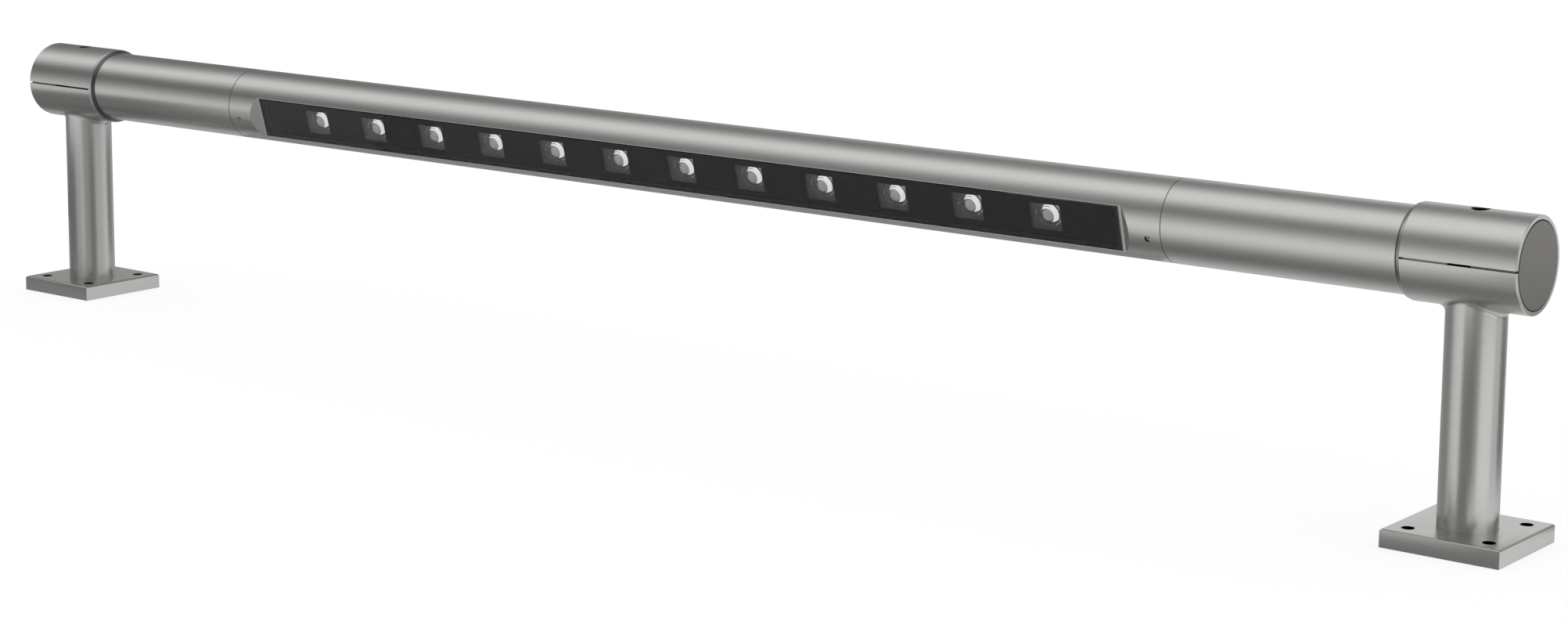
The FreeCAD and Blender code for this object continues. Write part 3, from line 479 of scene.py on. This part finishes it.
# Cover glass and its gasket: a long pane of clear glass, bedded in a black rubber frame, flush with the flat.
# The rubber is drawn back by a hair, so that its faces and the glass don't lie in one place.
BEDDING_GAP = 0.00003
gasket_rubber = rubber("gasket_rubber", (0.006, 0.006, 0.006), gloss=0.1)
dress(gasket_rubber, "glass_gasket")
bedding = nodes["glass_gasket"].modifiers.new("bedding", "DISPLACE")
bedding.mid_level = 0.0
bedding.strength = -BEDDING_GAP
pane_clear = clear("pane_clear", 1.25, 0.004)
dress(pane_clear, "cover_glass")

# Driver: the lamp's power supply, a cartridge of electronics potted in resin, in a black sleeve. It is pushed
# into the bore of the right coupling, and its two leads run to the board.
dress(board_black, "driver")

# Floor: a wide pale studio floor, white to the camera but for the soft shadow that the light casts on it. The
# steel mirrors the surround and the boards, not the floor.
FLOOR_HALF = 8.0
FLOOR_PALE, FLOOR_ROUGHNESS = (0.9, 0.9, 0.9, 1), 0.9
FLOOR_WHITE, FLOOR_WHITE_SHARE = 1.05, 0.75
floor_mesh = bpy.data.meshes.new("floor")
corners = [(-1, -1), (1, -1), (1, 1), (-1, 1)]
floor_mesh.from_pydata([(x * FLOOR_HALF, y * FLOOR_HALF, 0) for x, y in corners], [], [(0, 1, 2, 3)])
floor = bpy.data.objects.new("floor", floor_mesh)
bpy.context.scene.collection.objects.link(floor)
floor_pale, floor_nodes, floor_links, floor_shader = new_finish("floor_pale")
floor_shader.inputs["Base Color"].default_value = FLOOR_PALE
floor_shader.inputs["Roughness"].default_value = FLOOR_ROUGHNESS
floor_shader.inputs["Specular IOR Level"].default_value = 0.0
floor_glow = floor_nodes.new("ShaderNodeEmission")
floor_glow.inputs["Strength"].default_value = FLOOR_WHITE
floor_ray = floor_nodes.new("ShaderNodeLightPath")
seen = floor_nodes.new("ShaderNodeMath")
seen.operation = "MULTIPLY"
seen.inputs[1].default_value = FLOOR_WHITE_SHARE
floor_links.new(floor_ray.outputs["Is Camera Ray"], seen.inputs[0])
white_floor = floor_nodes.new("ShaderNodeMixShader")
floor_links.new(seen.outputs["Value"], white_floor.inputs["Fac"])
floor_links.new(floor_shader.outputs["BSDF"], white_floor.inputs[1])
floor_links.new(floor_glow.outputs["Emission"], white_floor.inputs[2])
floor_links.new(white_floor.outputs["Shader"], floor_nodes["Material Output"].inputs["Surface"])
floor_mesh.materials.append(floor_pale)
floor.visible_glossy = False

# Studio: an even white surround. In polished metal it shows three bright fields, in front, overhead and
# behind, with soft dark gaps between them. Each list gives levels by angle round the rail's line, in degrees
# up from straight ahead, and the lists blend by how far to the left or right a reflection looks.
SURROUND_RIGHT = [
    (-180, 0.44), (-140, 0.68), (-110, 0.50), (-91, 0.30), (-70, 0.24), (-49, 0.40), (-30, 0.75), (-11, 0.95),
    (9, 0.64), (34, 0.25), (54, 0.60), (80, 1.32), (106, 0.64), (134, 0.25), (163, 0.72), (180, 0.44),
]
SURROUND_LEFT = [
    (-180, 0.19), (-140, 0.50), (-110, 0.46), (-91, 0.20), (-70, 0.11), (-49, 0.24), (-30, 0.68), (-11, 0.82),
    (9, 0.46), (36, 0.13), (54, 0.38), (80, 1.05), (106, 0.46), (134, 0.19), (160, 0.19), (180, 0.19),
]
SURROUND_NEAR = [
    (-180, 0.85), (-110, 0.38), (-60, 0.25), (-37, 0.33), (-10, 0.40), (24, 0.20), (50, 0.60), (80, 1.22),
    (106, 0.60), (134, 0.25), (180, 0.85),
]
THROUGH_GLASS = [
    (-180, 0.30), (-90, 0.05), (-60, 0.12), (-40, 0.36), (-10, 0.90), (30, 1.0), (120, 1.0), (180, 0.30),
]
LEFT_FROM, LEFT_FULLY = -0.43, -0.75
NEAR_FROM, NEAR_FULLY = 0.05, 0.35
GLASS_WHITE_FROM, GLASS_WHITE_FULLY = 0.22, 0.46
ENDS_FROM, ENDS_FULLY = 0.80, 0.97
END_REACH, LEFT_END_LEVEL, RIGHT_END_LEVEL = 0.8, 0.3, 0.6
studio = bpy.data.worlds.new("studio")
bpy.context.scene.world = studio
studio.use_nodes = True
sky_nodes, sky_links = studio.node_tree.nodes, studio.node_tree.links
towards = sky_nodes.new("ShaderNodeSeparateXYZ")
sky_links.new(sky_nodes.new("ShaderNodeTexCoord").outputs["Generated"], towards.inputs["Vector"])
rightwards = towards.outputs["X"]


def sky_range(value, low, high, to_low=0.0, to_high=1.0, soft=False):
    """A level that goes from to_low to to_high as a value goes from low to high."""
    span = sky_nodes.new("ShaderNodeMapRange")
    if soft:
        span.interpolation_type = "SMOOTHSTEP"
    span.inputs["From Min"].default_value = low
    span.inputs["From Max"].default_value = high
    span.inputs["To Min"].default_value = to_low
    span.inputs["To Max"].default_value = to_high
    sky_links.new(value, span.inputs["Value"])
    return span.outputs["Result"]


def sky_blend(share, first, second):
    """Blend two lights by a share. A light that is left out is plain white."""
    blend = sky_nodes.new("ShaderNodeMix")
    blend.data_type = "RGBA"
    sky_links.new(share, blend.inputs["Factor"])
    for light, socket in ((first, blend.inputs["A"]), (second, blend.inputs["B"])):
        if light:
            sky_links.new(light, socket)
        else:
            socket.default_value = (1, 1, 1, 1)
    return blend.outputs["Result"]


front = sky_nodes.new("ShaderNodeMath")
front.operation = "MULTIPLY"
front.inputs[1].default_value = -1.0
sky_links.new(towards.outputs["Y"], front.inputs[0])
angle_up = sky_nodes.new("ShaderNodeMath")
angle_up.operation = "ARCTAN2"
sky_links.new(towards.outputs["Z"], angle_up.inputs[0])
sky_links.new(front.outputs["Value"], angle_up.inputs[1])
round_share = sky_range(angle_up.outputs["Value"], -math.pi, math.pi)


def surround(levels):
    """Light from all round the rail's line, by angle from straight ahead."""
    fields = sky_nodes.new("ShaderNodeValToRGB")
    fields.color_ramp.interpolation = "CARDINAL"
    stops = fields.color_ramp.elements
    while len(stops) < len(levels):
        stops.new(0.5)
    for stop, (angle, level) in zip(stops, levels):
        stop.position = (angle + 180) / 360
        stop.color = (level, level, level, 1)
    sky_links.new(round_share, fields.inputs["Fac"])
    return fields.outputs["Color"]


side = sky_nodes.new("ShaderNodeMath")
side.operation = "ABSOLUTE"
sky_links.new(rightwards, side.inputs[0])
to_left = sky_range(rightwards, LEFT_FROM, LEFT_FULLY)
to_near = sky_range(rightwards, NEAR_FROM, NEAR_FULLY)
to_ends = sky_range(side.outputs["Value"], ENDS_FROM, ENDS_FULLY, soft=True)
ends = sky_range(rightwards, -END_REACH, END_REACH, LEFT_END_LEVEL, RIGHT_END_LEVEL)
fields_right = surround(SURROUND_RIGHT)
fields_left = sky_blend(to_left, fields_right, surround(SURROUND_LEFT))
fields_all = sky_blend(to_near, fields_left, surround(SURROUND_NEAR))
in_metal = sky_blend(to_ends, fields_all, ends)
to_white = sky_range(rightwards, GLASS_WHITE_FROM, GLASS_WHITE_FULLY)
in_glass = sky_blend(to_white, surround(THROUGH_GLASS), None)
sky_ray = sky_nodes.new("ShaderNodeLightPath")
white_or_metal = sky_blend(sky_ray.outputs["Is Glossy Ray"], None, in_metal)
sky_light = sky_blend(sky_ray.outputs["Is Transmission Ray"], white_or_metal, in_glass)
sky_links.new(sky_light, sky_nodes["Background"].inputs["Color"])

# Cards: dark and bright boards round the posts and plates and under the rail, out of the camera's sight. In
# the steel they give the upright tubes their bands, the plates their darker fronts, the bolt holes their dark
# walls, and the undersides of the rail and of the right clamp their shade.
CARD_REACH = 0.26
POST_CARDS = [
    ("card_right_front", POST_X, 0.22, -18, 30, -0.06, 0.09),
    ("card_right_side", POST_X, 0.95, 46, 100, -0.06, 0.095),
    ("card_right_back", POST_X, 0.20, 128, 165, -0.02, 0.095),
    ("card_right_behind", POST_X, 0.82, 180, 230, 0.02, 0.13),
    ("card_left_left", -POST_X, 0.20, -80, -26, -0.06, 0.085),
    ("card_left_front", -POST_X, 0.48, -26, 6, -0.06, 0.085),
    ("card_left_right", -POST_X, 0.20, 48, 74, -0.06, 0.095),
    ("card_left_back", -POST_X, 0.25, 140, 176, -0.02, 0.095),
    ("card_left_behind", -POST_X, 0.40, 205, 255, 0.02, 0.13),
]
FLAT_CARDS = [
    ("card_left_under", 0.19, 0.05, [(-0.76, -0.03), (-0.62, -0.03), (-0.62, 0.02), (-0.76, 0.02)]),
    ("card_right_floor", 0.84, -0.002, [(0.607, -0.115), (0.655, -0.115), (0.74, 0.105), (0.62, 0.105)]),
    ("card_window_under", 0.33, 0.115, [(-0.405, -0.008), (0.375, -0.008), (0.345, 0.055), (-0.46, 0.055)]),
]
PLATE_CARDS = [("card_plate_right", POST_X, 0.22), ("card_plate_left", -POST_X, 0.29)]
PLATE_CARD_LEFT, PLATE_CARD_RIGHT, PLATE_CARD_Y, PLATE_CARD_LOW = -0.14, 0.04, -0.10, -0.10
PLATE_HALF, BELOW_PLATE, BELOW_DARK = 0.0355, -0.001, 0.02


def card(name, level, points):
    """A glowing board of one level that shows in reflections alone."""
    board = bpy.data.meshes.new(name)
    board.from_pydata(points, [], [(0, 1, 2, 3)])
    paint, paint_nodes, paint_links, _ = new_finish(name)
    glow = paint_nodes.new("ShaderNodeEmission")
    glow.inputs["Color"].default_value = (level, level, level, 1)
    paint_links.new(glow.outputs["Emission"], paint_nodes["Material Output"].inputs["Surface"])
    board.materials.append(paint)
    holder = bpy.data.objects.new(name, board)
    bpy.context.scene.collection.objects.link(holder)
    holder.visible_camera = False
    holder.visible_diffuse = False
    holder.visible_transmission = False
    holder.visible_shadow = False


for name, x, level, low, high, bottom, top in POST_CARDS:
    x0, x1 = (x + CARD_REACH * math.sin(math.radians(a)) for a in (low, high))
    y0, y1 = (-CARD_REACH * math.cos(math.radians(a)) for a in (low, high))
    card(name, level, [(x0, y0, bottom), (x1, y1, bottom), (x1, y1, top), (x0, y0, top)])
for name, level, height, outline in FLAT_CARDS:
    card(name, level, [(x, y, height) for x, y in outline])
for name, x, level in PLATE_CARDS:
    x0, x1 = x + PLATE_CARD_LEFT, x + PLATE_CARD_RIGHT
    lower = [(x0, PLATE_CARD_Y, PLATE_CARD_LOW), (x1, PLATE_CARD_Y, PLATE_CARD_LOW)]
    card(name, level, lower + [(x1, PLATE_CARD_Y, 0), (x0, PLATE_CARD_Y, 0)])
    under = [(x + sx * PLATE_HALF, sy * PLATE_HALF, BELOW_PLATE) for sx, sy in corners]
    card(f"{name}_below", BELOW_DARK, under)

# Camera: it stands in front of the light, off its right end and a little above the rail, and its shift frames
# the light as the photograph does.
CAMERA_PLACE = (1.28410, -1.53166, 0.45786)
CAMERA_AZIMUTH, CAMERA_ELEVATION, CAMERA_ROLL = (math.radians(a) for a in (37.085, 8.814, 0.592))
SENSOR_WIDTH, FOCAL_LENGTH = 36.0, 70.997
SHIFT_X, SHIFT_Y = -0.02264, -0.08759
across = Vector((math.cos(CAMERA_AZIMUTH), math.sin(CAMERA_AZIMUTH), 0))
back = Vector((math.sin(CAMERA_AZIMUTH) * math.cos(CAMERA_ELEVATION),
               -math.cos(CAMERA_AZIMUTH) * math.cos(CAMERA_ELEVATION),
               math.sin(CAMERA_ELEVATION)))
upward = back.cross(across)
tilted_across = math.cos(CAMERA_ROLL) * across + math.sin(CAMERA_ROLL) * upward
tilted_upward = math.cos(CAMERA_ROLL) * upward - math.sin(CAMERA_ROLL) * across
camera_turn = Matrix((tilted_across, tilted_upward, back)).transposed().to_4x4()
camera_lens = bpy.data.cameras.new("camera")
camera_lens.sensor_width = SENSOR_WIDTH
camera_lens.lens = FOCAL_LENGTH
camera_lens.shift_x = SHIFT_X
camera_lens.shift_y = SHIFT_Y
camera = bpy.data.objects.new("camera", camera_lens)
camera.matrix_world = Matrix.Translation(CAMERA_PLACE) @ camera_turn
bpy.context.scene.collection.objects.link(camera)
bpy.context.scene.camera = camera
bpy.context.scene.view_settings.view_transform = "Standard"
